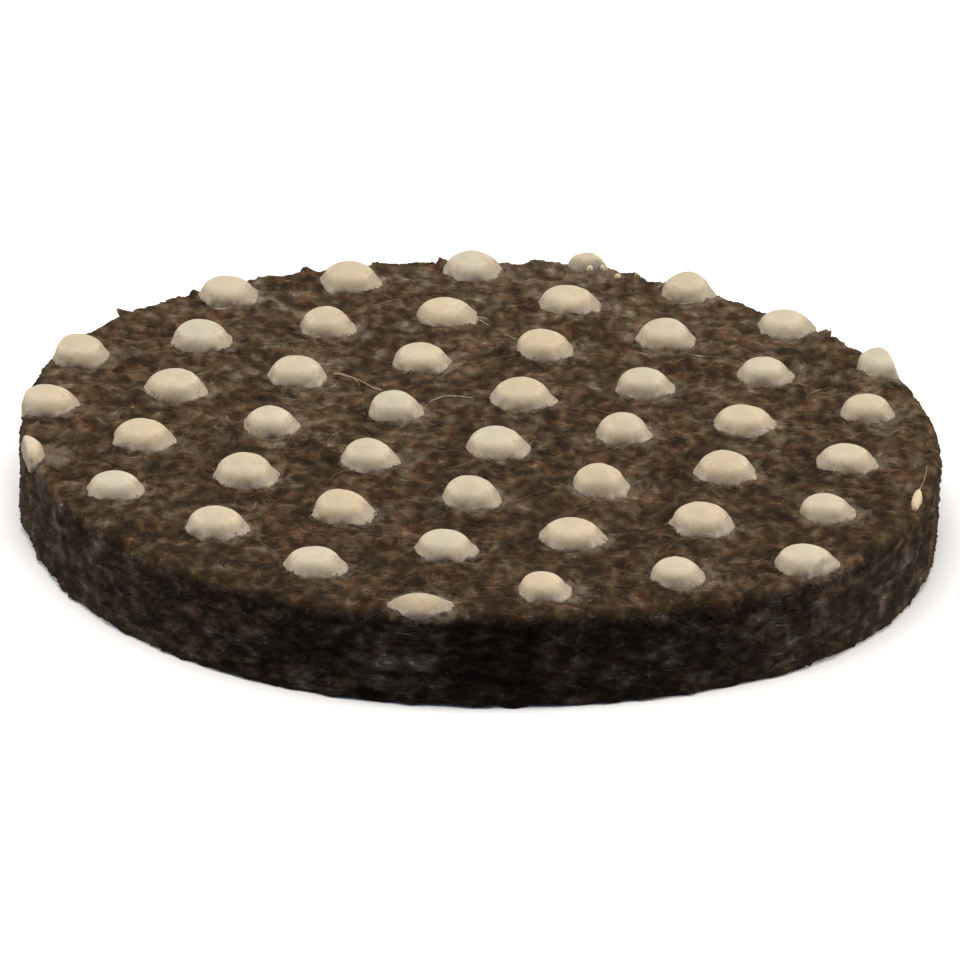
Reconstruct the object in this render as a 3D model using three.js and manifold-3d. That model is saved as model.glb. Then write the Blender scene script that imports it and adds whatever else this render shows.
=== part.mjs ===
// A round gripping pad for furniture, punched from thick brown wool felt.
// Cream latex nubs are laid on the felt in staggered rows before the disc is punched out,
// so the nubs that meet the rim are cut through by the punch.
// Millimetres, +Z up, origin at the centre of the flat underside, nubs facing up.
import * as THREE from "three";
import { mergeVertices } from "three/addons/utils/BufferGeometryUtils.js";
import Module from "manifold-3d";

// Felt disc
const padDiameter = 50;
const feltThickness = 5.2;
const upperEdgeRadius = 0.15;
const lowerEdgeRadius = 0.2;

// An average nub
const nubWidth = 2.9;
const nubHeight = 0.92;

// The staggered rows: each nub stands at the corner of equal-sided triangles.
// The middle nub's row and column are given numbers high enough for every other nub's to be above 0.
const nubPitch = 7.14;
const rowTurnDegrees = 19.9;
const middleNub = [5, 5];
const middleNubX = 0.9;
const middleNubY = -2.15;

// The felt stretched a little as the rows were laid, so they bow this far towards -Y at the pad's two sides
const rowBow = 0.6;

// How much one nub differs from the next, either way
const widthSpread = 0.25;
const heightSpread = 0.15;
const placeSpread = 0.1;
const leanSpread = 0.12;

// The latex drags a little along +X as it is laid, which makes each nub an oval that leans back
const dragLength = 0.2;
const dragLean = -0.06;

// A nub centred further outside the disc than this leaves too thin a sliver to stay on the felt
const sliverReach = 0.6;

// One nub at the front rim, as [row, column], was squashed by the punch as it cut past
const squashedNub = [2, 5];
const squashedHeight = 0.35;

// Nubs at the back rim that the punch pushed aside, and so left on the pad, as [row, column, x, y]
const pushedNubs = [
  [9, 5, 0, -1.3],
  [6, 8, -0.3, -0.7],
];

const discFacets = 96;
const edgeFacets = 3;
const nubFacets = 18;
const nubRings = 5;

const padRadius = padDiameter / 2;
const flatFaceRadius = padRadius - upperEdgeRadius;

const feltMaterial = new THREE.MeshStandardMaterial({ color: 0x4f3f31, roughness: 1.0, metalness: 0.0 });
const latexMaterial = new THREE.MeshStandardMaterial({ color: 0xd9ccb0, roughness: 0.6, metalness: 0.0 });

const wasm = await Module();
wasm.setup();

// A closed geometry as a manifold-3d solid
function solidFrom(geometry) {
  const bare = geometry.clone();
  bare.deleteAttribute("normal");
  bare.deleteAttribute("uv");
  const merged = mergeVertices(bare, 1e-4);
  return new wasm.Manifold(
    new wasm.Mesh({
      numProp: 3,
      vertProperties: new Float32Array(merged.attributes.position.array),
      triVerts: new Uint32Array(merged.index.array),
    }),
  );
}

// A manifold-3d solid as a geometry
function geometryFrom(solid) {
  const mesh = solid.getMesh();
  const geometry = new THREE.BufferGeometry();
  geometry.setAttribute("position", new THREE.BufferAttribute(new Float32Array(mesh.vertProperties), 3));
  geometry.setIndex(new THREE.BufferAttribute(new Uint32Array(mesh.triVerts), 1));
  geometry.computeVertexNormals();
  return geometry;
}

// Points of a quarter circle round (centreX, centreY), from startDegrees on, turning anticlockwise
function quarterArc(centreX, centreY, radius, startDegrees) {
  const points = [];
  for (let step = 0; step <= edgeFacets; step++) {
    const angle = THREE.MathUtils.degToRad(startDegrees + (90 * step) / edgeFacets);
    points.push(new THREE.Vector2(centreX + radius * Math.cos(angle), centreY + radius * Math.sin(angle)));
  }
  return points;
}

// A profile of (radius, height) points turned about the Z axis
function turned(profile, facets) {
  return new THREE.LatheGeometry(profile, facets).rotateX(Math.PI / 2);
}

// The punched disc: flat faces, an upright wall and edges softened by the punch
function feltDisc() {
  const profile = [
    new THREE.Vector2(0, 0),
    ...quarterArc(padRadius - lowerEdgeRadius, lowerEdgeRadius, lowerEdgeRadius, -90),
    ...quarterArc(flatFaceRadius, feltThickness - upperEdgeRadius, upperEdgeRadius, 0),
    new THREE.Vector2(0, feltThickness),
  ];
  const mesh = new THREE.Mesh(turned(profile, discFacets), feltMaterial);
  mesh.name = "felt_disc";
  return mesh;
}

// A repeatable number from -1 to 1 for the nub at this row and column; kind tells its uses apart
function chance(row, column, kind) {
  const wave = Math.sin(row * 12.9898 + column * 78.233 + kind * 37.719) * 43758.5453;
  return 2 * (wave - Math.floor(wave)) - 1;
}

// Whether a nub given as [row, column] is the one at this row and column
function isAt(nub, row, column) {
  return nub[0] === row && nub[1] === column;
}

// Where the nub at this row and column stands on the felt
function nubPlace(row, column) {
  const rows = row - middleNub[0];
  const columns = column - middleNub[1];
  const place = new THREE.Vector2(columns + rows / 2, (rows * Math.sqrt(3)) / 2).multiplyScalar(nubPitch);
  place.rotateAround(new THREE.Vector2(0, 0), THREE.MathUtils.degToRad(rowTurnDegrees));
  place.x += middleNubX + placeSpread * chance(row, column, 1);
  place.y += middleNubY + placeSpread * chance(row, column, 2);
  place.y -= rowBow * (place.x / padRadius) ** 2;
  const pushed = pushedNubs.find((nub) => isAt(nub, row, column));
  if (pushed) place.add(new THREE.Vector2(pushed[2], pushed[3]));
  return place;
}

// A set drop of latex: a flat base and an oval dome whose top leans to one side
function nubDome(row, column) {
  const radius = (nubWidth + widthSpread * chance(row, column, 3)) / 2;
  const fullHeight = nubHeight + heightSpread * chance(row, column, 4);
  const height = isAt(squashedNub, row, column) ? squashedHeight : fullHeight;
  const leanX = dragLean + leanSpread * chance(row, column, 5);
  const leanY = leanSpread * chance(row, column, 6);
  const profile = [new THREE.Vector2(0, 0)];
  for (let ring = 0; ring < nubRings; ring++) {
    const angle = (Math.PI / 2) * (ring / nubRings);
    profile.push(new THREE.Vector2(radius * Math.cos(angle), height * Math.sin(angle)));
  }
  profile.push(new THREE.Vector2(0, height));
  const dome = turned(profile, nubFacets);
  dome.scale(1 + dragLength / nubWidth, 1, 1);
  const shear = new THREE.Matrix4().makeShear(0, 0, 0, 0, leanX / height, leanY / height);
  return dome.applyMatrix4(shear);
}

// The upright column above the disc's flat face, in which the punch leaves latex standing
function insidePunch() {
  const tallest = Math.max(nubHeight + heightSpread, squashedHeight);
  const column = new THREE.CylinderGeometry(flatFaceRadius, flatFaceRadius, 4 * tallest, discFacets);
  return solidFrom(column.rotateX(Math.PI / 2));
}

// Every nub that stays on the felt, those at the rim cut through
function nubs() {
  const kept = [];
  const punch = insidePunch();
  const reach = Math.ceil(padDiameter / nubPitch);
  for (let row = middleNub[0] - reach; row <= middleNub[0] + reach; row++) {
    for (let column = middleNub[1] - reach; column <= middleNub[1] + reach; column++) {
      const place = nubPlace(row, column);
      if (place.length() > padRadius + sliverReach) continue;
      const dome = nubDome(row, column);
      dome.computeBoundingBox();
      const whole = place.length() + dome.boundingBox.max.x < flatFaceRadius;
      const shape = whole ? dome : cutByPunch(dome, place, punch);
      const mesh = new THREE.Mesh(shape, latexMaterial);
      mesh.name = `nub_${row}_${column}`;
      mesh.position.set(place.x, place.y, feltThickness);
      kept.push(mesh);
    }
  }
  return kept;
}

// What the punch leaves of a dome that stands at this place
function cutByPunch(dome, place, punch) {
  const cut = punch.translate(-place.x, -place.y, 0);
  return geometryFrom(solidFrom(dome).intersect(cut));
}

const pad = new THREE.Group();
pad.name = "felt_furniture_pad";
pad.add(feltDisc(), ...nubs());

export default pad;
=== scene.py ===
"""A round furniture pad: coarse brown wool felt with cream latex nubs on its upper face.

The felt is one dense mesh of its skin, with loose wool strands lying on it and standing off its rim.
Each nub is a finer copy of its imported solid, with a thin skirt of latex that soaks into the felt.
Lengths are in millimetres until a mesh is made, and meshes are in metres.
"""

import math

import bpy
import numpy as np
from mathutils import Matrix, Vector
from mathutils.bvhtree import BVHTree


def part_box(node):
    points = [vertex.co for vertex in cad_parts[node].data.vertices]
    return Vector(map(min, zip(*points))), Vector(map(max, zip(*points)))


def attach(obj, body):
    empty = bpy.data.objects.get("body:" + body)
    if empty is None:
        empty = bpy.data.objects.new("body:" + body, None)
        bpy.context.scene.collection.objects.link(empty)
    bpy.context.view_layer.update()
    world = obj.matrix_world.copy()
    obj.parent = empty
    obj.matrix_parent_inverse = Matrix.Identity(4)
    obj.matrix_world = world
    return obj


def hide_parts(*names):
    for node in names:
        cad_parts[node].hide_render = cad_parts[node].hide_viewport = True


MM = 0.001

# Camera, fitted to the rim and the nubs of the photograph
IMAGE_SIDE = 960
FOCAL_PIXELS = 9340
SENSOR_WIDTH = 36
CAMERA_DISTANCE = 506.1
CAMERA_ELEVATION = math.radians(23.36)
CAMERA_ROLL = math.radians(-2.10)
PAD_MIDDLE_PIXEL = (476.75, 519.23)

# Skin of the felt
TOP_EDGE = 0.6
FOOT_EDGE = 0.2
SKIN_SINK = 0.10
GRID = 296
UNDERSIDE_RINGS = 6

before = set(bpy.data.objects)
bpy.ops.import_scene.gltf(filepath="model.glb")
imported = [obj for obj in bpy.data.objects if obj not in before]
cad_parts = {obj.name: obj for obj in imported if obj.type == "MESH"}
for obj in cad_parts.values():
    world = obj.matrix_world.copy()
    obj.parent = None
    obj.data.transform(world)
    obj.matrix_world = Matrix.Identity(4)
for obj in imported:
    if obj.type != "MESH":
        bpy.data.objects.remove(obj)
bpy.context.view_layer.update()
felt_low, felt_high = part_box("felt_disc")
RADIUS = (felt_high.x - felt_low.x) / 2 / MM
THICKNESS = felt_high.z / MM

# Distances along the skin from the middle of the upper face to where each stretch of it ends
FACE_END = RADIUS - TOP_EDGE
EDGE_END = FACE_END + TOP_EDGE * math.pi / 2
WALL_END = EDGE_END + THICKNESS - TOP_EDGE - FOOT_EDGE
FOOT_END = WALL_END + FOOT_EDGE * math.pi / 2

nub_names = sorted(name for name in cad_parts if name.startswith("nub_"))
nub_middles = [(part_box(name)[0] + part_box(name)[1]) / 2 / MM for name in nub_names]


# Noise

NOISE_CELLS = 48


def drift(points, cell, seed):
    """Smooth noise from -1 to 1 at points (..., 3), with bumps about one cell across."""
    table = np.random.default_rng(seed).uniform(-1, 1, (NOISE_CELLS,) * 3)
    places = points / cell
    corner = np.floor(places).astype(int)
    part = places - corner
    part = part * part * (3 - 2 * part)
    total = 0
    for step in np.ndindex(2, 2, 2):
        weight = np.prod(np.where(step, part, 1 - part), axis=-1)
        x, y, z = np.moveaxis((corner + step) % NOISE_CELLS, -1, 0)
        total = total + weight * table[x, y, z]
    return total


def flat(plane):
    """Points (..., 2) with a zero added as their height."""
    return np.concatenate([plane, np.zeros(plane.shape[:-1] + (1,))], axis=-1)


# Camera


def make_camera():
    """The photograph's view: its distance, elevation and roll, with the pad a little below the middle."""
    back = Vector((0, -math.cos(CAMERA_ELEVATION), math.sin(CAMERA_ELEVATION)))
    level = Vector((1, 0, 0))
    upward = back.cross(level)
    right = math.cos(CAMERA_ROLL) * level - math.sin(CAMERA_ROLL) * upward
    up = math.sin(CAMERA_ROLL) * level + math.cos(CAMERA_ROLL) * upward
    aside = (IMAGE_SIDE / 2 - PAD_MIDDLE_PIXEL[0]) / FOCAL_PIXELS
    above = (PAD_MIDDLE_PIXEL[1] - IMAGE_SIDE / 2) / FOCAL_PIXELS
    backward = (back - aside * right - above * up).normalized()
    across = up.cross(backward).normalized()
    upright = backward.cross(across)
    data = bpy.data.cameras.new("camera")
    data.sensor_width = SENSOR_WIDTH
    data.lens = FOCAL_PIXELS / IMAGE_SIDE * SENSOR_WIDTH
    data.clip_start = 10 * MM
    data.clip_end = 10
    camera = bpy.data.objects.new("camera", data)
    turn = Matrix((across, upright, backward)).transposed().to_4x4()
    camera.matrix_world = Matrix.Translation(back * CAMERA_DISTANCE * MM) @ turn
    bpy.context.scene.collection.objects.link(camera)
    bpy.context.scene.camera = camera


# Light and floor

ROOM_COLOUR = (0.75, 0.95, 1.32)
ROOM_STRENGTH = 0.26

# Lamps: name, place and side in metres, watts, and colour
LAMPS = [
    ("overhead", (-0.02, -0.04, 0.22), 0.20, 0.52, (1.0, 0.95, 0.88)),
    ("left", (-0.55, 0.05, 0.20), 0.30, 2.3, (1.0, 0.89, 0.72)),
    ("right", (0.55, 0.10, 0.20), 0.30, 3.6, (1.0, 0.89, 0.72)),
]

# The floor's colour as the camera sees it and as it lights the pad, how far it reaches in metres,
# and how far below the felt it lies
FLOOR_SEEN = (0.95, 0.95, 0.95)
FLOOR_BOUNCE = (0.26, 0.29, 0.34)
FLOOR_REACH = 4
FLOOR_GAP = 0.01


def make_world():
    """An even, slightly cool room."""
    world = bpy.data.worlds.new("room")
    world.use_nodes = True
    background = world.node_tree.nodes["Background"]
    background.inputs["Color"].default_value = (*ROOM_COLOUR, 1)
    background.inputs["Strength"].default_value = ROOM_STRENGTH
    bpy.context.scene.world = world


def make_lamps():
    """Square soft lamps that face the pad."""
    for name, place, side, watts, colour in LAMPS:
        data = bpy.data.lights.new(name, "AREA")
        data.size = side
        data.energy = watts
        data.color = colour
        lamp = bpy.data.objects.new(name, data)
        lamp.location = place
        lamp.rotation_euler = (-Vector(place)).to_track_quat("-Z", "Y").to_euler()
        bpy.context.scene.collection.objects.link(lamp)


def make_floor():
    """A white floor that throws only some of its light back up at the pad."""
    material = bpy.data.materials.new("floor")
    material.use_nodes = True
    nodes, links = material.node_tree.nodes, material.node_tree.links
    surface = nodes["Principled BSDF"]
    surface.inputs["Roughness"].default_value = 1
    surface.inputs["Specular IOR Level"].default_value = 0
    path = nodes.new("ShaderNodeLightPath")
    colour = nodes.new("ShaderNodeMix")
    colour.data_type = "RGBA"
    colour.inputs["A"].default_value = (*FLOOR_BOUNCE, 1)
    colour.inputs["B"].default_value = (*FLOOR_SEEN, 1)
    links.new(path.outputs["Is Camera Ray"], colour.inputs["Factor"])
    links.new(colour.outputs["Result"], surface.inputs["Base Color"])
    far = FLOOR_REACH
    corners = [(-far, -far, 0), (far, -far, 0), (far, far, 0), (-far, far, 0)]
    mesh = bpy.data.meshes.new("floor")
    mesh.from_pydata(corners, [], [(0, 1, 2, 3)])
    mesh.materials.append(material)
    floor = bpy.data.objects.new("floor", mesh)
    floor.location.z = -FLOOR_GAP * MM
    bpy.context.scene.collection.objects.link(floor)


# Materials

# Wool colours from the darkest fibres to the palest, with how far along the ramp each stands
WOOL_COLOURS = [
    (0.00, (0.011, 0.0056, 0.0022)),
    (0.30, (0.030, 0.0165, 0.0068)),
    (0.52, (0.066, 0.0420, 0.0210)),
    (0.70, (0.107, 0.0755, 0.0450)),
    (0.86, (0.172, 0.1330, 0.0950)),
    (1.00, (0.360, 0.3050, 0.2400)),
]
BROAD_BLOTCHES = 0.75
SMALL_BLOTCHES = 1.2
RUSSET = (1.10, 0.89, 0.84)
ASHEN = (0.94, 1.02, 1.16)

# The cut wall: how much more contrast it has, its tint (partly the cut edge's own greyer fibres, partly
# painted shade of a wall that the light from above reaches less), and how much paler its flecks are
CUT_FACE_CONTRAST = 0.18
CUT_FACE_TINT_AND_SHADE = (0.65, 0.72, 0.88)
CUT_FACE_FLECKS = 0.22

# Wool that latex soaked into: its colour, and the most of it that shows
SOAKED_WOOL = (0.260, 0.208, 0.150)
SOAKED_SHARE = 0.45

# Painted light: the felt's tone gets this much paler per millimetre along +Y, so the back is painted lighter
# and the front darker
PAINTED_LIGHT_SLOPE = 0.0042

# The tone of the felt, and how much its grit and its fibres change it
FELT_TONE = 0.298
FELT_GRIT = 0.11
FELT_FIBRES = 0.04

# How far the tone of every strand is shifted, and how much its grit changes it
STRAND_SHIFT = -0.077
STRAND_GRIT = 0.1


class Nodes:
    """A material's nodes, made and joined in one call each."""

    def __init__(self, name):
        self.material = bpy.data.materials.new(name)
        self.material.use_nodes = True
        self.tree = self.material.node_tree
        self.surface = self.tree.nodes["Principled BSDF"]

    def add(self, kind, settings=None, **inputs):
        node = self.tree.nodes.new("ShaderNode" + kind)
        for key, value in (settings or {}).items():
            setattr(node, key, value)
        for key, value in inputs.items():
            self.set(node, key.replace("_", " "), value)
        return node

    def set(self, node, key, value):
        socket = node.inputs[int(key) if key.isdigit() else key]
        if isinstance(value, bpy.types.NodeSocket):
            self.tree.links.new(value, socket)
        elif isinstance(value, tuple) and len(value) == 3 and socket.type == "RGBA":
            socket.default_value = (*value, 1)
        else:
            socket.default_value = value

    def maths(self, operation, first, second=0.0, third=0.0, clamp=False):
        node = self.add("Math", {"operation": operation, "use_clamp": clamp})
        for index, value in enumerate((first, second, third)):
            self.set(node, str(index), value)
        return node.outputs[0]

    def blend(self, factor, first, second, how="MIX"):
        node = self.add("Mix", {"data_type": "RGBA", "blend_type": how, "clamp_factor": True})
        self.set(node, "Factor", factor)
        self.set(node, "6", first)
        self.set(node, "7", second)
        return node.outputs[2]

    def ramp(self, factor, stops):
        node = self.add("ValToRGB")
        elements = node.color_ramp.elements
        while len(elements) < len(stops):
            elements.new(0.5)
        for element, (place, colour) in zip(elements, stops):
            element.position = place
            element.color = (*colour, 1)
        self.set(node, "Fac", factor)
        return node.outputs["Color"]

    def noise(self, stretch, cell, detail=3.0, roughness=0.55, distortion=0.0, heading=0.0):
        """Noise with bumps about cell millimetres across, drawn out by stretch along a heading."""
        place = self.add("TexCoord").outputs["Object"]
        sizes = tuple(MM * cell * s for s in stretch)
        turn = (0, 0, math.radians(heading))
        textured = {"vector_type": "TEXTURE"}
        sized = self.add("Mapping", textured, Vector=place, Rotation=turn, Scale=sizes)
        settings = {"Scale": 1.0, "Detail": detail, "Roughness": roughness, "Distortion": distortion}
        return self.add("TexNoise", Vector=sized.outputs["Vector"], **settings).outputs["Fac"]

    def fibres(self, headings, cell, length):
        """Thin bright lines that cross each other along these headings, about cell millimetres apart."""
        crossing = 0.0
        for heading in headings:
            field = self.noise((length, 1, 1), cell, detail=1, distortion=0.6, heading=heading)
            off_line = self.maths("ABSOLUTE", self.maths("SUBTRACT", field, 0.5))
            line = self.maths("MULTIPLY_ADD", off_line, -8.0, 1.0, clamp=True)
            crossing = self.maths("MAXIMUM", crossing, line)
        return crossing

    def attribute(self, name):
        return self.add("Attribute", {"attribute_name": name}).outputs["Fac"]


def blotches(nodes, tone):
    """Tone in soft lighter and darker blotches, which lie flatter and have pale flecks on the cut wall, with
    painted light that makes it paler towards the back along +Y.
    """
    cut = nodes.attribute("cut_face")
    broad = nodes.noise((1.1, 1.3, 0.8), 2.2, detail=1)
    small = nodes.noise((0.95, 1.35, 0.8), 0.72, detail=1, roughness=0.4, distortion=0.3)
    flatter = nodes.noise((1.2, 2.0, 0.75), 0.70, detail=1, roughness=0.4, distortion=0.3)
    small = nodes.maths("MULTIPLY_ADD", cut, nodes.maths("SUBTRACT", flatter, small), small)
    change = nodes.maths("MULTIPLY", nodes.maths("SUBTRACT", broad, 0.5), BROAD_BLOTCHES)
    change = nodes.maths("MULTIPLY_ADD", nodes.maths("SUBTRACT", small, 0.5), SMALL_BLOTCHES, change)
    contrast = nodes.maths("MULTIPLY_ADD", cut, CUT_FACE_CONTRAST, 1.0)
    flecks = nodes.noise((1.1, 1.1, 1), 0.21, detail=0)
    flecks = nodes.maths("MULTIPLY_ADD", flecks, 6.0, -3.9, clamp=True)
    flecks = nodes.maths("MULTIPLY", flecks, nodes.maths("MULTIPLY", cut, CUT_FACE_FLECKS))
    tone = nodes.maths("ADD", tone, flecks)
    # Painted light: the tone grows paler along +Y, painting the back of the felt lighter and the front darker
    place = nodes.add("SeparateXYZ", Vector=nodes.add("TexCoord").outputs["Object"])
    tone = nodes.maths("MULTIPLY_ADD", place.outputs["Y"], PAINTED_LIGHT_SLOPE / MM, tone)
    return nodes.maths("MULTIPLY_ADD", change, contrast, tone)


def wool_colour(nodes, tone):
    """Wool of this tone, russet or ashen in patches, darker on the cut wall partly as its own greyer fibres
    and partly as painted shade, paler where latex soaked in, and painted paler towards the back.
    """
    colour = nodes.ramp(blotches(nodes, tone), WOOL_COLOURS)
    patch = nodes.noise((1, 1.2, 1), 1.2, detail=2)
    warm = nodes.maths("MULTIPLY_ADD", patch, 6.0, -3.0, clamp=True)
    cool = nodes.maths("MULTIPLY_ADD", patch, -6.0, 3.0, clamp=True)
    colour = nodes.blend(warm, colour, RUSSET, "MULTIPLY")
    colour = nodes.blend(cool, colour, ASHEN, "MULTIPLY")
    # The cut wall's tint: partly its own greyer fibres, partly painted shade that darkens the wall against
    # the upper face
    colour = nodes.blend(nodes.attribute("cut_face"), colour, CUT_FACE_TINT_AND_SHADE, "MULTIPLY")
    ragged = nodes.noise((1, 1.3, 1), 0.5, detail=3)
    wet = nodes.maths("ADD", nodes.attribute("soaked"), 1.1)
    wet = nodes.maths("MULTIPLY_ADD", ragged, -3.0, wet, clamp=True)
    return nodes.blend(nodes.maths("MULTIPLY", wet, SOAKED_SHARE), colour, SOAKED_WOOL)


def finish_wool(nodes):
    """Dull wool with a soft bloom at its edges."""
    nodes.surface.inputs["Roughness"].default_value = 0.92
    nodes.surface.inputs["Specular IOR Level"].default_value = 0.08
    nodes.surface.inputs["Sheen Weight"].default_value = 0.05
    nodes.surface.inputs["Sheen Roughness"].default_value = 0.6
    nodes.surface.inputs["Sheen Tint"].default_value = (0.75, 0.62, 0.5, 1)


def felt_material():
    """Matted wool: soft blotches, grit and fine fibres that cross each other."""
    nodes = Nodes("felt")
    grit = nodes.noise((1.1, 1.3, 0.9), 0.28, detail=1)
    fibres = nodes.fibres((6, 48, -36, 84), 0.24, 5)
    tone = nodes.maths("MULTIPLY_ADD", grit, FELT_GRIT, FELT_TONE)
    tone = nodes.maths("MULTIPLY_ADD", fibres, FELT_FIBRES, tone)
    relief = nodes.maths("MULTIPLY_ADD", fibres, 0.3, grit)
    bump = nodes.add("Bump", Height=relief, Strength=0.2, Distance=0.12 * MM)
    nodes.set(nodes.surface, "Base Color", wool_colour(nodes, tone))
    nodes.set(nodes.surface, "Normal", bump.outputs["Normal"])
    finish_wool(nodes)
    return nodes.material


def strand_material():
    """Locks and strands of wool, each of its own tone within the felt's blotches."""
    nodes = Nodes("wool_strands")
    grit = nodes.noise((1.1, 1.3, 0.9), 0.28, detail=1)
    tone = nodes.maths("ADD", nodes.attribute("tone"), STRAND_SHIFT)
    tone = nodes.maths("MULTIPLY_ADD", grit, STRAND_GRIT, tone)
    bump = nodes.add("Bump", Height=grit, Strength=0.1, Distance=0.1 * MM)
    nodes.set(nodes.surface, "Base Color", wool_colour(nodes, tone))
    nodes.set(nodes.surface, "Normal", bump.outputs["Normal"])
    finish_wool(nodes)
    return nodes.material


# Latex colours from the foot of a nub, where the ramp starts, to its thick top
LATEX_COLOURS = [
    (0.00, (0.225, 0.178, 0.125)),
    (0.30, (0.395, 0.340, 0.251)),
    (0.70, (0.570, 0.520, 0.412)),
    (1.00, (0.510, 0.467, 0.372)),
]
LATEX_RAMP_HEIGHT = 0.95
YELLOWER_BATCH = (1.03, 0.96, 0.86)
DULL_PATCH = (0.88, 0.86, 0.82)
FILM_OVER_WOOL = (0.200, 0.160, 0.115)
FILM_OVER_STRANDS = (0.340, 0.288, 0.218)


def latex_material():
    """Dried latex: cream where it is thick, and dim where a film of it thins out into the wool.

    The film attribute is 1 for the thinnest film, and below 0 for latex that is thick though it lies low.
    """
    nodes = Nodes("latex")
    place = nodes.add("TexCoord").outputs["Object"]
    height = nodes.add("SeparateXYZ", Vector=place).outputs["Z"]
    level = nodes.maths("DIVIDE", nodes.maths("SUBTRACT", height, THICKNESS * MM), LATEX_RAMP_HEIGHT * MM)
    ragged = nodes.noise((1, 1, 1), 0.35, detail=3)
    level = nodes.maths("ADD", level, nodes.maths("MULTIPLY_ADD", ragged, 0.24, -0.12))
    level = nodes.maths("ADD", level, nodes.maths("MULTIPLY", nodes.attribute("film"), -1.0, clamp=True))
    colour = nodes.ramp(level, LATEX_COLOURS)
    batch = nodes.maths("MULTIPLY_ADD", nodes.noise((1, 1, 1), 8.0, detail=0), 3.0, -1.0, clamp=True)
    colour = nodes.blend(batch, colour, YELLOWER_BATCH, "MULTIPLY")
    mottle = nodes.maths("MULTIPLY_ADD", nodes.noise((1, 1, 1), 0.7, detail=4), -2.4, 2.0, clamp=True)
    colour = nodes.blend(mottle, colour, DULL_PATCH, "MULTIPLY")
    thinness = nodes.maths("MULTIPLY_ADD", ragged, 1.2, nodes.maths("SUBTRACT", nodes.attribute("film"), 0.6))
    film = nodes.maths("MULTIPLY_ADD", thinness, 2.2, -0.5, clamp=True)
    strands = nodes.fibres((10, 70, -50), 0.20, 5)
    colour = nodes.blend(film, colour, nodes.blend(strands, FILM_OVER_WOOL, FILM_OVER_STRANDS))
    grain = nodes.noise((1, 1, 1), 0.12, detail=3)
    bump = nodes.add("Bump", Height=grain, Strength=0.35, Distance=0.04 * MM)
    nodes.set(nodes.surface, "Base Color", colour)
    nodes.set(nodes.surface, "Normal", bump.outputs["Normal"])
    nodes.surface.inputs["Roughness"].default_value = 0.55
    nodes.surface.inputs["Specular IOR Level"].default_value = 0.35
    nodes.surface.inputs["Subsurface Weight"].default_value = 0.5
    nodes.surface.inputs["Subsurface Radius"].default_value = (1.0, 0.7, 0.45)
    nodes.surface.inputs["Subsurface Scale"].default_value = 0.4 * MM
    return nodes.material


# The felt's skin

# The punch left the pad slightly out of round: (waves round the rim, millimetres, degrees of a crest)
OUT_OF_ROUND = [(1, 0.14, 45), (2, 0.02, 81), (3, 0.05, -40), (4, 0.21, -27), (5, 0.14, 19), (6, 0.09, 23)]

# How far the whole rim stands out
RIM_SWELL = 0.02

# Nicks and bulges at the back of the rim: degrees round it, degrees spanned, and how far each stands out
NICKS = [
    (115.3, 4.0, 0.25),
    (99.5, 6.0, -0.30),
    (86.1, 2.6, -1.10),
    (84.0, 1.6, 0.50),
    (82.3, 1.6, 0.35),
    (80.1, 2.4, 0.40),
    (73.9, 2.0, 0.60),
    (70.7, 2.0, 0.55),
    (68.0, 2.0, -0.60),
    (51.8, 5.0, -0.40),
]

# How far down the wall a nick runs out
NICK_DEPTH = 1.6

# How fast the waves and the nicks die away towards the pad's middle, as powers of the radius
OUT_OF_ROUND_FADE = 4
NICK_FADE = 24

# The felt drawn down round each nub: how deep, how far from the nub's middle, and how wide its slope is
NUB_DIMPLE = 0.04
DIMPLE_REACH = 2.7
DIMPLE_SLOPE = 1.1

# The halo of latex that soaked in round each nub: where it is centred from the nub's middle, how far it
# reaches at full strength, how far it then takes to fade, and how much longer it is along X
HALO_SHIFT = (0.38, -0.05)
HALO_REACH = 1.3
HALO_FADE = 1.0
HALO_STRETCH = 1.15

# Bumps of the upper face and of the cut wall: height, width, squeeze along X, Y and Z, and seed
FACE_BUMPS = [
    (0.06, 5.5, (1, 1, 1), 11),
    (0.13, 1.1, (0.9, 0.85, 1), 12),
    (0.11, 0.6, (0.9, 0.85, 1), 13),
]
WALL_BUMPS = [
    (0.05, 3.0, (1, 1, 1), 14),
    (0.13, 0.95, (0.9, 0.9, 1.8), 15),
    (0.10, 0.46, (0.6, 0.6, 1.8), 16),
]


def out_of_round(angle):
    """How far the rim stands out from its true circle, in the direction of this angle."""
    waves = [depth * np.cos(count * (angle - math.radians(crest))) for count, depth, crest in OUT_OF_ROUND]
    return RIM_SWELL + sum(waves)


def nicks(angle):
    """How far the nicks and bulges move the upper edge out, in the direction of this angle."""
    moved = 0
    for degrees, span, out in NICKS:
        away = (angle - math.radians(degrees)) / math.radians(span / 2)
        moved = moved + out * np.exp(-(away**2))
    return moved


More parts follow.
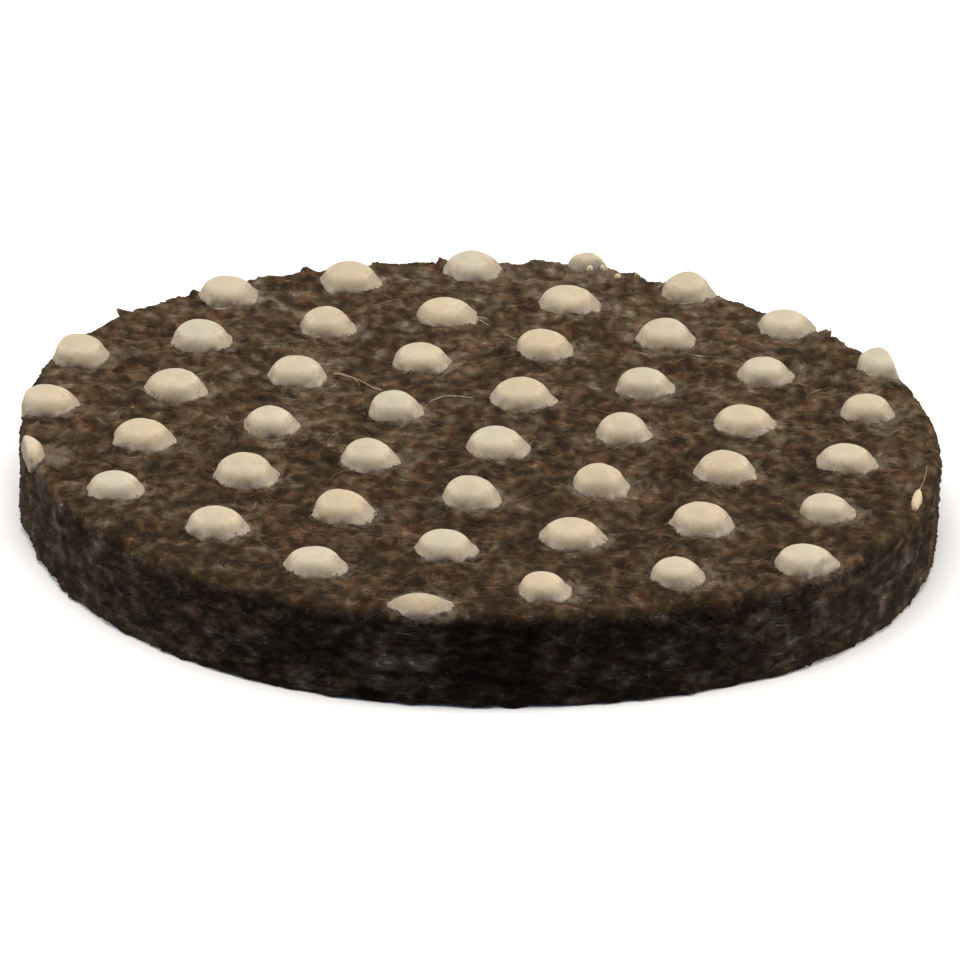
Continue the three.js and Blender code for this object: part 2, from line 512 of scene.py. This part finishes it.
def skin(plane):
    """Places (..., 2) on the unrolled skin as points, normals and how much each is on the cut wall.

    The unrolled skin is the upper face with the wall and then the underside folded out round it.
    """
    reach = np.hypot(plane[..., 0], plane[..., 1])
    angle = np.arctan2(plane[..., 1], plane[..., 0])
    over = np.clip((reach - FACE_END) / TOP_EDGE, 0, math.pi / 2)
    down = np.clip(reach - EDGE_END, 0, WALL_END - EDGE_END)
    under = np.clip((reach - WALL_END) / FOOT_EDGE, 0, math.pi / 2)
    inward = np.maximum(reach - FOOT_END, 0)
    radius = np.minimum(reach, FACE_END) + TOP_EDGE * np.sin(over) - FOOT_EDGE * (1 - np.cos(under)) - inward
    height = THICKNESS - TOP_EDGE * (1 - np.cos(over)) - down - FOOT_EDGE * np.sin(under)
    chipped = (radius / RADIUS) ** NICK_FADE * np.clip(1 - down / NICK_DEPTH, 0, 1) ** 2
    radius = radius + out_of_round(angle) * (radius / RADIUS) ** OUT_OF_ROUND_FADE + nicks(angle) * chipped
    outward = np.stack([np.cos(angle), np.sin(angle)], axis=-1)
    points = np.concatenate([radius[..., None] * outward, height[..., None]], axis=-1)
    tilt = over + under
    normals = np.concatenate([np.sin(tilt)[..., None] * outward, np.cos(tilt)[..., None]], axis=-1)
    cut = np.clip(np.sin(tilt) ** 3 + 0.25 * drift(points, 0.8, 31), 0, 1)
    return points, normals, cut * (np.sin(tilt) > 0.2)


def drawn_down(points):
    """How much the felt at these points was drawn down by the wet latex of a nub, from 0 to 1."""
    nearest = np.full(points.shape[:-1], np.inf)
    for middle in nub_middles:
        nearest = np.minimum(nearest, np.hypot(points[..., 0] - middle.x, points[..., 1] - middle.y))
    part = np.clip((DIMPLE_REACH - nearest) / DIMPLE_SLOPE, 0, 1)
    return part * part * (3 - 2 * part)


def soaked(points):
    """How much latex soaked into the upper face at these points, from 0 to 1."""
    wet = np.zeros(points.shape[:-1])
    for middle in nub_middles:
        across = points[..., 0] - middle.x - HALO_SHIFT[0]
        along = points[..., 1] - middle.y - HALO_SHIFT[1]
        wet = np.maximum(wet, 1 - (np.hypot(across / HALO_STRETCH, along) - HALO_REACH) / HALO_FADE)
    return np.minimum(wet, 1) * (points[..., 2] > THICKNESS - 0.5)


def bumps(points, layers):
    """Every layer of bumps, added up at these points."""
    return sum(height * drift(points * squeeze, width, seed) for height, width, squeeze, seed in layers)


def relief(points, cut):
    """How far the skin stands proud of its smooth form: broad swells, lumps and small tangles."""
    face = bumps(points, FACE_BUMPS) - NUB_DIMPLE * drawn_down(points)
    return face * (1 - cut) + bumps(points, WALL_BUMPS) * cut


def on_felt(plane, lift=0.0):
    """Places on the unrolled skin as points this lift above the felt's real surface, with normals and cut."""
    points, normals, cut = skin(plane)
    proud = relief(points, cut) + lift - SKIN_SINK
    points = points + normals * proud[..., None]
    points[..., 2] = np.maximum(points[..., 2], 0.0)
    return points, normals, cut


def new_piece(name, points, faces, material, slot, normals=None, **attributes):
    """A smooth mesh that rides on the pad, from points in millimetres, shaded with normals if given."""
    mesh = bpy.data.meshes.new(name)
    mesh.from_pydata((points * MM).tolist(), [], faces)
    for key, values in attributes.items():
        mesh.attributes.new(key, "FLOAT", "POINT").data.foreach_set("value", values.astype(np.float32))
    mesh.materials.append(material)
    mesh.shade_smooth()
    mesh.validate()
    if normals is not None:
        mesh.normals_split_custom_set_from_vertices(normals)
    piece = bpy.data.objects.new(name, mesh)
    bpy.context.scene.collection.objects.link(piece)
    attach(piece, "root")
    return piece


def disc_grid(count, reach):
    """A square grid of count x count points, rounded out evenly into a disc."""
    line = np.linspace(-1, 1, count)
    across, along = np.meshgrid(line, line, indexing="ij")
    wide = abs(across) > abs(along)
    radius = np.where(wide, across, along) * reach
    wide_angle = math.pi / 4 * along / across
    tall_angle = math.pi / 2 - math.pi / 4 * across / along
    angle = np.where(wide, wide_angle, tall_angle)
    return np.stack([radius * np.cos(angle), radius * np.sin(angle)], axis=-1)


def ring_faces(outer, inner):
    """Quads between two closed loops of vertex numbers."""
    return np.stack([outer, np.roll(outer, -1), np.roll(inner, -1), inner], axis=-1).tolist()


def make_felt(material):
    """The whole felt body: a dense grid over its upper face and wall, and rings across its underside."""
    grid = disc_grid(GRID, FOOT_END)
    numbers = np.arange(GRID * GRID).reshape(GRID, GRID)
    quads = np.stack([numbers[:-1, :-1], numbers[1:, :-1], numbers[1:, 1:], numbers[:-1, 1:]], axis=-1)
    faces = quads.reshape(-1, 4).tolist()
    border = np.concatenate([numbers[:-1, 0], numbers[-1, :-1], numbers[:0:-1, -1], numbers[0, :0:-1]])
    places = [grid.reshape(-1, 2)]
    rim = places[0][border] / FOOT_END
    loop = border
    for ring in range(1, UNDERSIDE_RINGS):
        inner = GRID * GRID + (ring - 1) * len(border) + np.arange(len(border))
        inward = (RADIUS - FOOT_EDGE) * ring / UNDERSIDE_RINGS
        places.append(rim * (FOOT_END + inward))
        faces += ring_faces(inner, loop)
        loop = inner
    plane = np.concatenate(places)
    points, _, cut = on_felt(plane)
    points = np.concatenate([points, [[0, 0, 0]]])
    looks = {"cut_face": np.append(cut, 0), "soaked": soaked(points)}
    middle = len(points) - 1
    faces += [(a, middle, b) for a, b in zip(loop, np.roll(loop, -1))]
    felt = new_piece("felt_pad", points, faces, material, "felt", **looks)
    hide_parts("felt_disc")
    return felt


# Wool strands


def walk(random, start, heading, length, steps, curl):
    """Curved paths (n, steps + 1, 2) over the unrolled skin, each setting off along its heading."""
    count = len(start)
    turn = random.normal(0, curl, count)
    wave = random.uniform(0, 2 * math.pi, count)
    path = [start]
    for step in range(steps):
        progress = step / steps
        course = heading + turn * (progress - 0.5) + 0.35 * curl * np.sin(wave + 7 * progress)
        move = np.stack([np.cos(course), np.sin(course)], axis=-1)
        path.append(path[-1] + move * (length / steps)[:, None])
    return np.stack(path, axis=1)


# How much each strand is shaded as round. The rest is shaded as the felt under it, so strands mat together.
STRAND_ROUNDNESS = 0.15


def tube_faces(count, rings):
    """Faces of three-sided tubes that close to a point at both ends."""
    last = 3 * rings + 1
    quads, ends = [], []
    for side in range(3):
        beside = (side + 1) % 3
        ends.append((0, 1 + side, 1 + beside))
        ends.append((last, last - 3 + beside, last - 3 + side))
        for ring in range(rings - 1):
            near = 1 + 3 * ring
            quads.append((near + side, near + 3 + side, near + 3 + beside, near + beside))
    start = (np.arange(count) * (last + 1))[:, None, None]
    quads = (start + np.array(quads)).reshape(-1, 4).tolist()
    return quads + (start + np.array(ends)).reshape(-1, 3).tolist()


def tube_points(points, normals, radius):
    """Vertices (n, ...) of those tubes along points (n, m, 3), and the ways that they face."""
    along = np.gradient(points, axis=1)
    along /= np.linalg.norm(along, axis=-1, keepdims=True) + 1e-12
    side = np.cross(along, normals)
    side /= np.linalg.norm(side, axis=-1, keepdims=True) + 1e-12
    up = np.cross(side, along)
    rings, facing = [], []
    for turn in (math.pi / 2, math.pi * 7 / 6, math.pi * 11 / 6):
        outward = math.cos(turn) * side + math.sin(turn) * up
        rings.append((points + radius[:, None, None] * outward)[:, 1:-1])
        facing.append(outward[:, 1:-1])
    body = np.stack(rings, axis=2).reshape(len(points), -1, 3)
    body_facing = np.stack(facing, axis=2).reshape(len(points), -1, 3)
    vertices = np.concatenate([points[:, :1], body, points[:, -1:]], axis=1)
    return vertices, np.concatenate([up[:, :1], body_facing, up[:, -1:]], axis=1)


def strand_piece(name, material, points, normals, cut, radius, tone):
    """One piece of many strands along points (n, m, 3), each point this much on the cut wall (n, m)."""
    vertices, facing = tube_points(points, normals, radius)
    vertices[..., 2] = np.maximum(vertices[..., 2], 0.0)
    count, each = vertices.shape[:2]

    def per_vertex(values):
        between = np.repeat(values[:, 1:-1], 3, axis=1)
        return np.concatenate([values[:, :1], between, values[:, -1:]], axis=1)

    soft = STRAND_ROUNDNESS * facing + (1 - STRAND_ROUNDNESS) * per_vertex(normals)
    soft /= np.linalg.norm(soft, axis=-1, keepdims=True)
    faces = tube_faces(count, points.shape[1] - 2)
    places = vertices.reshape(-1, 3)
    looks = {"tone": np.repeat(tone, each), "cut_face": per_vertex(cut).ravel(), "soaked": soaked(places)}
    return new_piece(name, places, faces, material, "felt", normals=soft.reshape(-1, 3), **looks)


def make_strands(name, material, paths, lift, radius, tone):
    """Strands along paths (n, m, 2) on the unrolled skin, with each point's height above the felt as lift."""
    points, normals, cut = on_felt(paths, lift)
    return strand_piece(name, material, points, normals, cut, radius, tone)


def arch(count, steps, rise, sunk):
    """Heights along strands that leave the felt, arch over it and go back in."""
    progress = np.linspace(0, 1, steps + 1)[None, :]
    return rise[:, None] * np.sin(math.pi * progress) ** 0.6 - sunk


def wool_tones(random, tone, spreads, count):
    """A tone for each strand, about this one."""
    return np.clip(tone + random.normal(0, 1, count) * spreads, 0, 1)


def spread(random, count, nearest, farthest):
    """Random places on the unrolled skin, evenly over its area from one reach to another."""
    reach = np.sqrt(random.uniform(nearest**2, farthest**2, count))
    angle = random.uniform(0, 2 * math.pi, count)
    return np.stack([reach * np.cos(angle), reach * np.sin(angle)], axis=-1)


def grain(plane, random, scatter):
    """Headings of strands: left to right across the face in whorls, and round the wall."""
    whorl = 0.9 * drift(flat(plane), 6.0, 21) + 0.7 * drift(flat(plane), 2.2, 22)
    round_rim = np.arctan2(plane[:, 1], plane[:, 0]) + math.pi / 2
    on_wall = np.hypot(plane[:, 0], plane[:, 1]) > EDGE_END
    lie = np.where(on_wall, round_rim, whorl)
    scatter = np.where(on_wall, 0.15 * scatter, scatter)
    return lie + random.normal(0, 1, len(plane)) * scatter + math.pi * random.integers(0, 2, len(plane))


# Layers of wool on the skin: name, seed, count, length, steps, radius, tone, spread of tone, and curl
WOOL_LAYERS = [
    ("wool_locks", 101, 8500, 0.9, 4, 0.140, 0.40, 0.040, 0.9),
    ("wool_short", 102, 5600, 1.3, 6, 0.070, 0.41, 0.055, 0.9),
    ("wool_fine", 103, 4600, 2.6, 7, 0.030, 0.43, 0.075, 0.7),
]

# How high the strands of these layers arch, and how far their headings scatter, in radians
WOOL_RISE = 0.05
WOOL_SCATTER = 1.6


def make_wool(material):
    """Every layer of WOOL_LAYERS, from fat locks that lie in the felt to fine hairs that stand off it."""
    for name, seed, count, length, steps, radius, tone, tone_spread, curl in WOOL_LAYERS:
        random = np.random.default_rng(seed)
        start = spread(random, count, 0, FOOT_END - 0.3)
        heading = grain(start, random, WOOL_SCATTER)
        lengths = length * random.uniform(0.6, 1.4, count)
        paths = walk(random, start, heading, lengths, steps, curl)
        on_wall = np.hypot(start[:, 0], start[:, 1]) > FACE_END
        rise = WOOL_RISE * random.uniform(0.2, 1.3, count) * np.where(on_wall, 0.6, 1)
        lift = arch(count, steps, rise, 0.6 * radius)
        radii = radius * random.uniform(0.7, 1.3, count)
        tones = wool_tones(random, tone, np.where(on_wall, 1.8, 1) * tone_spread, count)
        make_strands(name, material, paths, lift, radii, tones)


def make_wisps(material):
    """Long pale hairs that wander over the upper face between the nubs."""
    random = np.random.default_rng(104)
    count, steps = 420, 14
    start = spread(random, count, 0, FACE_END - 1)
    heading = grain(start, random, 1.2)
    lengths = random.uniform(1.5, 5.5, count)
    paths = walk(random, start, heading, lengths, steps, 0.7)
    lift = arch(count, steps, random.uniform(0.05, 0.14, count), 0.02)
    radii = random.uniform(0.012, 0.022, count)
    tones = wool_tones(random, 0.60, 0.07, count)
    make_strands("wool_wisps", material, paths, lift, radii, tones)


def make_fringe(material):
    """Brown wool of the upper face that hangs raggedly over the cut edge."""
    random = np.random.default_rng(105)
    count, steps = 1500, 5
    reach = random.uniform(FACE_END - 0.5, EDGE_END - 0.1, count)
    angle = random.uniform(0, 2 * math.pi, count)
    start = np.stack([reach * np.cos(angle), reach * np.sin(angle)], axis=-1)
    heading = angle + random.normal(0, 0.7, count)
    lengths = random.uniform(0.4, 1.3, count) * (1 + 0.5 * drift(flat(start), 1.5, 53))
    paths = walk(random, start, heading, lengths, steps, 0.9)
    points, normals, cut = on_felt(paths, arch(count, steps, random.uniform(0.02, 0.08, count), 0.03))
    radii = random.uniform(0.03, 0.07, count)
    tones = wool_tones(random, 0.40, 0.05, count)
    strand_piece("wool_fringe", material, points, normals, 0.5 * cut, radii, tones)


# Tufts that the punch pulled out of the upper edge: degrees round the rim, how far each stands out, and up
TUFTS = [
    (142.8, 0.70, 0.06),
    (131.2, 0.04, 0.12),
    (121.0, 0.06, 0.10),
    (114.4, 0.00, 0.12),
    (104.6, 0.00, 0.12),
    (95.8, 0.00, 0.10),
    (40.1, 0.25, 0.10),
]

# How far in from the rim and below the upper face a tuft is rooted
TUFT_INSET = 0.25
TUFT_DEPTH = 0.08


def make_tufts(material):
    """Locks that draw together to a point at or outside the upper edge."""
    random = np.random.default_rng(106)
    each, steps = 12, 5
    along = np.linspace(0, 1, steps + 1)[:, None]
    strands = []
    for degrees, out, up in TUFTS:
        angle = math.radians(degrees)
        outward = np.array([math.cos(angle), math.sin(angle), 0])
        aside = np.array([-math.sin(angle), math.cos(angle), 0])
        reach = RADIUS + out_of_round(angle) + nicks(angle) - TUFT_INSET
        rim = outward * reach + (0, 0, THICKNESS - TUFT_DEPTH)
        tip = rim + outward * out + (0, 0, up)
        for _ in range(each):
            foot = rim + aside * random.normal(0, 0.32) - outward * 0.2 - (0, 0, 0.15)
            end = tip + random.normal(0, 0.05, 3)
            bow = np.array([0, 0, random.uniform(-0.04, 0.04)]) * np.sin(math.pi * along)
            strands.append(foot + (end - foot) * along + bow)
    points = np.array(strands)
    normals = np.zeros_like(points)
    normals[..., 2] = 1
    radii = random.uniform(0.05, 0.09, len(points))
    tones = wool_tones(random, 0.41, 0.04, len(points))
    strand_piece("wool_tufts", material, points, normals, np.zeros(points.shape[:2]), radii, tones)


# Nubs

# Nubs that the punch left out of shape: how far it moved each, how much it sized each, and how much it drew
# the two ends to points
ODD_NUBS = {
    "nub_2_5": ((0, -0.05, 0), (1.05, 0.82, 0.85), 0.45),
    "nub_2_6": ((-0.32, -0.25, 0), (0.90, 1, 1), 0),
    "nub_6_1": ((0.05, 0, 0), (1.20, 1.35, 1.15), 0),
    "nub_6_8": ((0.05, 0.40, 0), (1, 1, 1), 0),
    "nub_9_5": ((0, 0.35, 0.12), (0.88, 0.85, 0.90), 0),
}
WHOLE_NUB = ((0, 0, 0), (1, 1, 1), 0)

# A finer nub: its voxels, its passes of smoothing, and how deep its root goes
NUB_VOXEL = 0.13
NUB_SMOOTHING = 14
NUB_ROOT = 0.6

# How much wider its foot is along Y, how far its top rises, and how high its swells and its lumps are
FOOT_WIDENING = 0.06
NUB_RISE = 0.10
NUB_SWELLS = 0.05
NUB_LUMPS = 0.012

# The thick drop is this much of a nub's packed width. The rest is the film that soaks into the wool round it.
NUB_NARROWING = 0.95


def finer_copy(node):
    """A smooth, closed mesh of a packed nub, in millimetres, with a root that goes down into the felt."""
    mesh = node.data.copy()
    mesh.transform(Matrix.Scale(1 / MM, 4))
    base = min(v.co.z for v in mesh.vertices)
    for vertex in mesh.vertices:
        if vertex.co.z < base + 0.01:
            vertex.co.z -= NUB_ROOT
    rough = bpy.data.objects.new("rough_nub", mesh)
    bpy.context.scene.collection.objects.link(rough)
    even = rough.modifiers.new("even", "REMESH")
    even.mode = "VOXEL"
    even.voxel_size = NUB_VOXEL
    soften = rough.modifiers.new("soften", "SMOOTH")
    soften.factor = 0.5
    soften.iterations = NUB_SMOOTHING
    depsgraph = bpy.context.evaluated_depsgraph_get()
    made = bpy.data.meshes.new_from_object(rough.evaluated_get(depsgraph))
    bpy.data.objects.remove(rough)
    return made


def foot_spread(thin, ragged, tail):
    """How far a nub spreads where it is this thin, as a share of its width: raggedly, and most along +X."""
    return 0.03 * thin + thin**6 * (0.06 + 0.11 * ragged + 0.12 * tail)


def film_share(thin, uneven, tail, nose):
    """How much of a nub is film where it is this thin, from 0 to 1: most at its two ends along X."""
    return np.clip(thin**2.5 * (0.45 + 0.3 * uneven) + thin**0.8 * (0.85 * tail + 0.6 * nose), 0, 1)


def make_nub(node, seed, material):
    """A drop of latex: uneven, with a ragged foot that spreads a little and thins out furthest along +X."""
    made = finer_copy(node)
    points = np.array([v.co for v in made.vertices])
    faces = [tuple(p.vertices) for p in made.polygons]
    low, high = (np.array(corner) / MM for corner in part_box(node.name))
    middle = (low + high) / 2
    height = high[2] - low[2]
    out = points[:, :2] - middle[:2]
    angle = np.arctan2(out[:, 1], out[:, 0])
    thin = np.clip(1 - (points[:, 2] - low[2]) / height, 0, 1)
    tail = np.maximum(np.cos(angle), 0) ** 2
    nose = np.minimum(np.cos(angle), 0) ** 2
    spread_out = foot_spread(thin, drift(points + seed, 0.5, 41), tail)
    points[:, :2] += out * (NUB_NARROWING - 1 + spread_out[:, None])
    points[:, 1] += out[:, 1] * FOOT_WIDENING * thin**2
    points[:, 2] += (1 - thin) * (NUB_RISE + NUB_SWELLS * drift(points + seed, 1.1, 42))
    points += NUB_LUMPS * drift(points + seed, 0.3, 43)[:, None]
    film = film_share(thin, drift(points + seed, 0.9, 44), tail, nose)
    move, size, pinch = ODD_NUBS.get(node.name, WHOLE_NUB)
    foot = np.array([*middle[:2], low[2]])
    points = foot + (points - foot) * size + move
    points[:, 1] -= out[:, 1] * pinch * np.minimum(out[:, 0] / (high[0] - low[0]) * 2, 1) ** 2
    nub = new_piece("latex_" + node.name, points, faces, material, "latex", film=film)
    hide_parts(node.name)
    return nub


# Scraps of latex on the upper face: (x, y), length, width, height, and the length's heading in degrees
SCRAPS = [
    ((23.30, -7.45), 2.4, 0.54, 0.42, 82),
    ((5.75, 23.35), 0.38, 0.36, 0.24, 0),
    ((6.40, 23.35), 0.34, 0.32, 0.24, 0),
    ((7.30, 22.60), 0.36, 0.34, 0.20, 30),
    ((8.30, 22.90), 0.24, 0.20, 0.16, 0),
    ((4.90, 23.70), 0.22, 0.20, 0.16, 0),
]

# A scrap's rings and sides, and how far above the felt its middle lies
SCRAP_RINGS = 6
SCRAP_SIDES = 10
SCRAP_SEAT = 0.14


def ball_points():
    """A ball of radius 1 whose two poles lie along X: ring by ring, then the poles."""
    tilts = np.linspace(0, math.pi, SCRAP_RINGS + 2)[1:-1]
    turns = np.arange(SCRAP_SIDES) / SCRAP_SIDES * 2 * math.pi
    tilt, turn = np.meshgrid(tilts, turns, indexing="ij")
    rings = np.stack([np.cos(tilt), np.sin(tilt) * np.cos(turn), np.sin(tilt) * np.sin(turn)], axis=-1)
    return np.concatenate([rings.reshape(-1, 3), [[1, 0, 0], [-1, 0, 0]]])


def ball_faces(first):
    """The ball's faces, where its points are numbered from first on."""
    faces = []
    near = first + np.arange(SCRAP_SIDES)
    pole = first + SCRAP_RINGS * SCRAP_SIDES
    faces += [(a, pole, b) for a, b in zip(np.roll(near, -1).tolist(), near.tolist())]
    for _ in range(SCRAP_RINGS - 1):
        faces += ring_faces(near + SCRAP_SIDES, near)
        near = near + SCRAP_SIDES
    return faces + [(a, pole + 1, b) for a, b in zip(near.tolist(), np.roll(near, -1).tolist())]


def make_scraps(material):
    """Crumbs of latex that the punch broke off a nub, and a sliver of one that it cut away."""
    parts, faces = [], []
    for (x, y), length, width, height, degrees in SCRAPS:
        ball = ball_points()
        faces += ball_faces(len(ball) * len(parts))
        ball *= 1 + 0.22 * drift(ball + (x, y, 0), 0.7, 45)[:, None]
        ball *= (length / 2, width / 2, height)
        turned = np.array(Matrix.Rotation(-math.radians(degrees), 3, "Z"))
        seat, _, _ = on_felt(np.array([x, y], float), SCRAP_SEAT)
        parts.append(ball @ turned + seat)
    points = np.concatenate(parts)
    new_piece("latex_scraps", points, faces, material, "latex", film=np.full(len(points), -0.3))


# Fine threads of latex that trail from nubs along the upper face: start, end, and how far each bows aside
THREADS = [
    ((-8.30, 7.50), (-5.30, 5.25), 0.10),
    ((-8.25, 7.60), (-6.60, 5.90), 0.25),
    ((-2.90, 4.20), (-0.35, 4.60), 0.15),
    ((-0.95, 16.20), (0.35, 15.20), 0.12),
    ((-0.90, 16.50), (0.20, 16.00), -0.10),
    ((23.30, -6.60), (24.15, -2.00), -0.20),
]


def make_threads(material):
    """The threads, each a fine curved tube that lies on the wool."""
    random = np.random.default_rng(108)
    steps = 10
    along = np.linspace(0, 1, steps + 1)[:, None]
    paths = []
    for start, end, bow in THREADS:
        start, end = np.array(start), np.array(end)
        aside = np.array([start[1] - end[1], end[0] - start[0]]) / math.dist(start, end)
        paths.append(start + (end - start) * along + bow * np.sin(math.pi * along) * aside)
    count = len(paths)
    points, normals, _ = on_felt(np.array(paths), arch(count, steps, random.uniform(0.10, 0.16, count), 0.0))
    vertices, facing = tube_points(points, normals, random.uniform(0.022, 0.034, count))
    film = np.repeat(random.uniform(0.25, 0.60, count), vertices.shape[1])
    places, normals = vertices.reshape(-1, 3), facing.reshape(-1, 3)
    faces = tube_faces(count, steps - 1)
    new_piece("latex_threads", places, faces, material, "latex", normals=normals, film=film)


# How far apart the noise of two nubs lies
NUB_SEED_STEP = 17.3


def make_nubs(material):
    """Every nub of the pad, each with noise of its own."""
    nodes = [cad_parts[name] for name in nub_names]
    return [make_nub(node, NUB_SEED_STEP * number, material) for number, node in enumerate(nodes)]


# Metres above the pad's underside from which latex is looked for, straight down
LOOK_FROM = 1


def land(points, nubs, climb):
    """Points (n, m, 3) that would lie inside the latex moved up to it, by climb millimetres at the most."""
    trees = []
    for nub in nubs:
        low, high = Vector(nub.bound_box[0]), Vector(nub.bound_box[6])
        corners = [v.co for v in nub.data.vertices]
        tree = BVHTree.FromPolygons(corners, [p.vertices for p in nub.data.polygons])
        trees.append((low, high, tree))
    for place in points.reshape(-1, 3):
        start = Vector(place) * MM
        start.z = LOOK_FROM
        for low, high, tree in trees:
            if low.x < start.x < high.x and low.y < start.y < high.y:
                _, _, _, drop = tree.ray_cast(start, Vector((0, 0, -1)))
                if drop is not None:
                    place[2] = max(place[2], min((LOOK_FROM - drop) / MM, place[2] + climb))
    return points


def make_caught_wool(material, nubs):
    """Short strands round the foot of each nub, where the latex ran in between the wool."""
    random = np.random.default_rng(107)
    each, steps = 12, 5
    starts, headings = [], []
    for nub in nubs:
        low, high = np.array(nub.bound_box[0]) / MM, np.array(nub.bound_box[6]) / MM
        middle, half = (low + high)[:2] / 2, (high - low)[:2] / 2
        angle = random.uniform(0, 2 * math.pi, each)
        ring = random.uniform(0.92, 1.12, each)[:, None]
        starts.append(middle + ring * half * np.stack([np.cos(angle), np.sin(angle)], axis=-1))
        headings.append(angle + math.pi + random.normal(0, 0.9, each))
    start, heading = np.concatenate(starts), np.concatenate(headings)
    inside = np.hypot(start[:, 0], start[:, 1]) < FACE_END
    start, heading = start[inside], heading[inside]
    count = len(start)
    paths = walk(random, start, heading, random.uniform(0.3, 0.8, count), steps, 1.2)
    points, normals, cut = on_felt(paths, np.full((count, steps + 1), 0.02))
    points = land(points, nubs, 0.16)
    points[:, 1:-1, 2] += 0.01
    radii = random.uniform(0.018, 0.030, count)
    tones = wool_tones(random, 0.52, 0.08, count)
    strand_piece("wool_caught", material, points, normals, cut, radii, tones)


make_camera()
make_world()
make_lamps()
make_floor()

make_felt(felt_material())
wool = strand_material()
make_wool(wool)
make_wisps(wool)
make_fringe(wool)
make_tufts(wool)
latex = latex_material()
latex_nubs = make_nubs(latex)
make_scraps(latex)
make_threads(latex)
make_caught_wool(wool, latex_nubs)

bpy.context.scene.view_settings.view_transform = "Standard"
